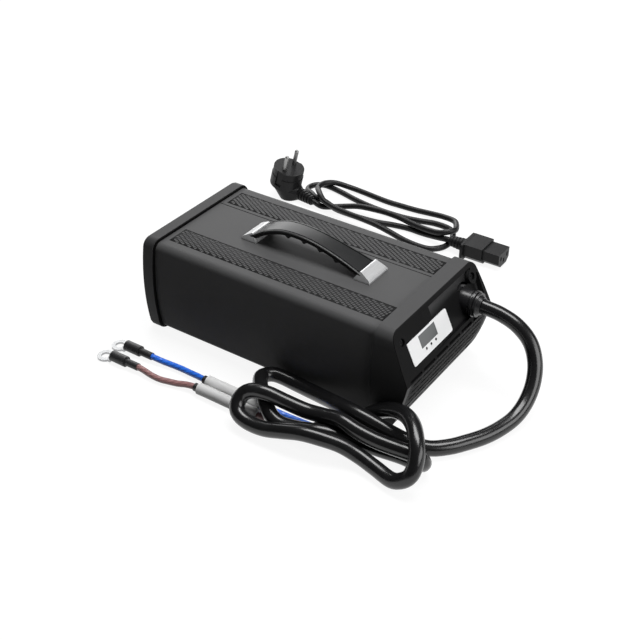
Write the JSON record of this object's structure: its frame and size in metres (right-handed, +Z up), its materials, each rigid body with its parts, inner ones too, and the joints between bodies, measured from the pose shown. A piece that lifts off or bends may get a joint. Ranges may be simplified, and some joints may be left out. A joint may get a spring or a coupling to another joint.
{
  "type": "lithium battery charger",
  "caption": "Barrel-sided battery charger with a strap handle, a slanted display end, a captive charging lead ending in ring terminals and a detachable mains lead.",
  "frame": {"origin": "on the floor under the middle of the charger, cords and what is on them left out", "axes": "+Z up, +X along the charger towards the display end, +Y across it to the side of the mains lead"},
  "size_m": [0.4328, 0.4234, 0.1172],
  "materials": {
    "case_paint": "black satin paint on aluminium",
    "cap_plastic": "black moulded plastic, fine grain",
    "gasket": "black, dull",
    "label": "glossy white film",
    "window": "smooth grey window",
    "lamp": "smooth dark dots",
    "screw_steel": "blackened steel",
    "gland": "black moulded plastic",
    "strap": "dark grey, matte",
    "bracket": "brushed, silver",
    "fan_plastic": "black moulded plastic",
    "guard_wire": "bright plated wire",
    "pin_metal": "bright nickel plate",
    "board": "green lacquer",
    "sink": "plain",
    "ferrite": "taped windings",
    "capacitor": "dark sleeve",
    "choke": "enamelled winding",
    "cable": "black, half gloss",
    "sleeve": "light grey tubing",
    "blue": "blue insulation, half gloss",
    "brown": "red-brown insulation, half gloss",
    "shrink": "black shrunk tubing",
    "tinned": "bright tin plate",
    "plug_rubber": "black moulded, half gloss",
    "contact": "plain"
  },
  "bodies": {
    "charger": {"housing": "case_paint", "rear_cap": "cap_plastic", "front_cap": "cap_plastic", "rear_gasket": "gasket", "display_board": "board", "display_label": "label", "display_window": "window", "indicator_lamps": "lamp", "front_screws": "screw_steel", "rear_screws": "screw_steel", "gland_body": "gland", "gland_boot": "gland", "handle_strap": "strap", "bracket_left": "bracket", "bracket_right": "bracket", "fan_frame": "fan_plastic", "fan_guard": "guard_wire", "mains_inlet": "gland", "inlet_pins": "pin_metal", "circuit_board": "board", "heat_sinks": "sink", "transformer": "ferrite", "capacitors": "capacitor", "choke": "choke", "dc_lead": "cable", "dc_hank": "cable", "sleeve_blue": "sleeve", "sleeve_brown": "sleeve", "collar_blue": "shrink", "collar_brown": "shrink", "wire_blue": "blue", "wire_brown": "brown", "boot_blue": "shrink", "boot_brown": "shrink", "ring_blue": "tinned", "ring_brown": "tinned", "mains_lead_a": "cable", "mains_hank": "cable", "mains_lead_b": "cable", "connector_body": "plug_rubber", "connector_contacts": "contact", "plug_body": "plug_rubber", "plug_pins": "pin_metal"},
    "fan": {"fan_rotor": "fan_plastic"}
  },
  "joints": [
    {"name": "fan_spin", "type": "hinge", "parent": "charger", "child": "fan", "pos_m": [-0.1156, 0.02, 0.04925], "axis": [1, 0, 0], "continuous": true}
  ]
}
